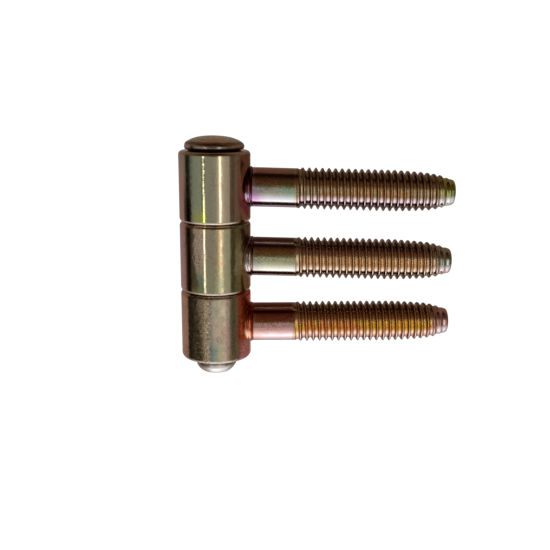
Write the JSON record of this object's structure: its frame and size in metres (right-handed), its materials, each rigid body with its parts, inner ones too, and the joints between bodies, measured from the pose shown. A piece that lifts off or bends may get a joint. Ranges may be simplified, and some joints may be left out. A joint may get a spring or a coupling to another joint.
{
  "type": "drill in hinge",
  "caption": "Drill-in hinge: stacked round knuckles turning on a loose pin with a domed head, each knuckle with a threaded stud welded to its side.",
  "frame": {"origin": "on the pin's axis, at mid-height of the middle knuckle", "axes": "+Z along the pin towards its head, which is the axis that the knuckles swing about; +X along the studs, away from the knuckles; +Y completes the right-handed set"},
  "size_m": [0.0524, 0.0136, 0.0462],
  "materials": {
    "sleeve_plating": "yellow-passivated zinc plating on turned steel, semi-gloss, olive to bronze with a faint iridescence and a red-brown heat tint beside the weld",
    "stud_plating": "yellow-passivated zinc plating on rolled threads, semi-gloss, bronze to gold with purple and pink tints, paler at the tip",
    "pin_plating": "yellow-passivated zinc plating on a cold-headed pin, bronze-brown head, pale silvery end"
  },
  "bodies": {
    "lower_knuckle": {"lower_sleeve": "sleeve_plating", "lower_stud": "stud_plating"},
    "middle_knuckle": {"middle_sleeve": "sleeve_plating", "middle_stud": "stud_plating"},
    "upper_knuckle": {"upper_sleeve": "sleeve_plating", "upper_stud": "stud_plating"},
    "pin": {"hinge_pin": "pin_plating"}
  },
  "joints": [
    {"name": "middle_swing", "type": "hinge", "parent": "lower_knuckle", "child": "middle_knuckle", "pos_m": [0, 0, 0], "axis": [0, 0, 1], "continuous": true},
    {"name": "upper_swing", "type": "hinge", "parent": "lower_knuckle", "child": "upper_knuckle", "pos_m": [0, 0, 0.01343], "axis": [0, 0, 1], "continuous": true},
    {"name": "pin_withdrawal", "type": "slide", "parent": "upper_knuckle", "child": "pin", "axis": [0, 0, 1], "range_m": [0, 0.045]}
  ]
}
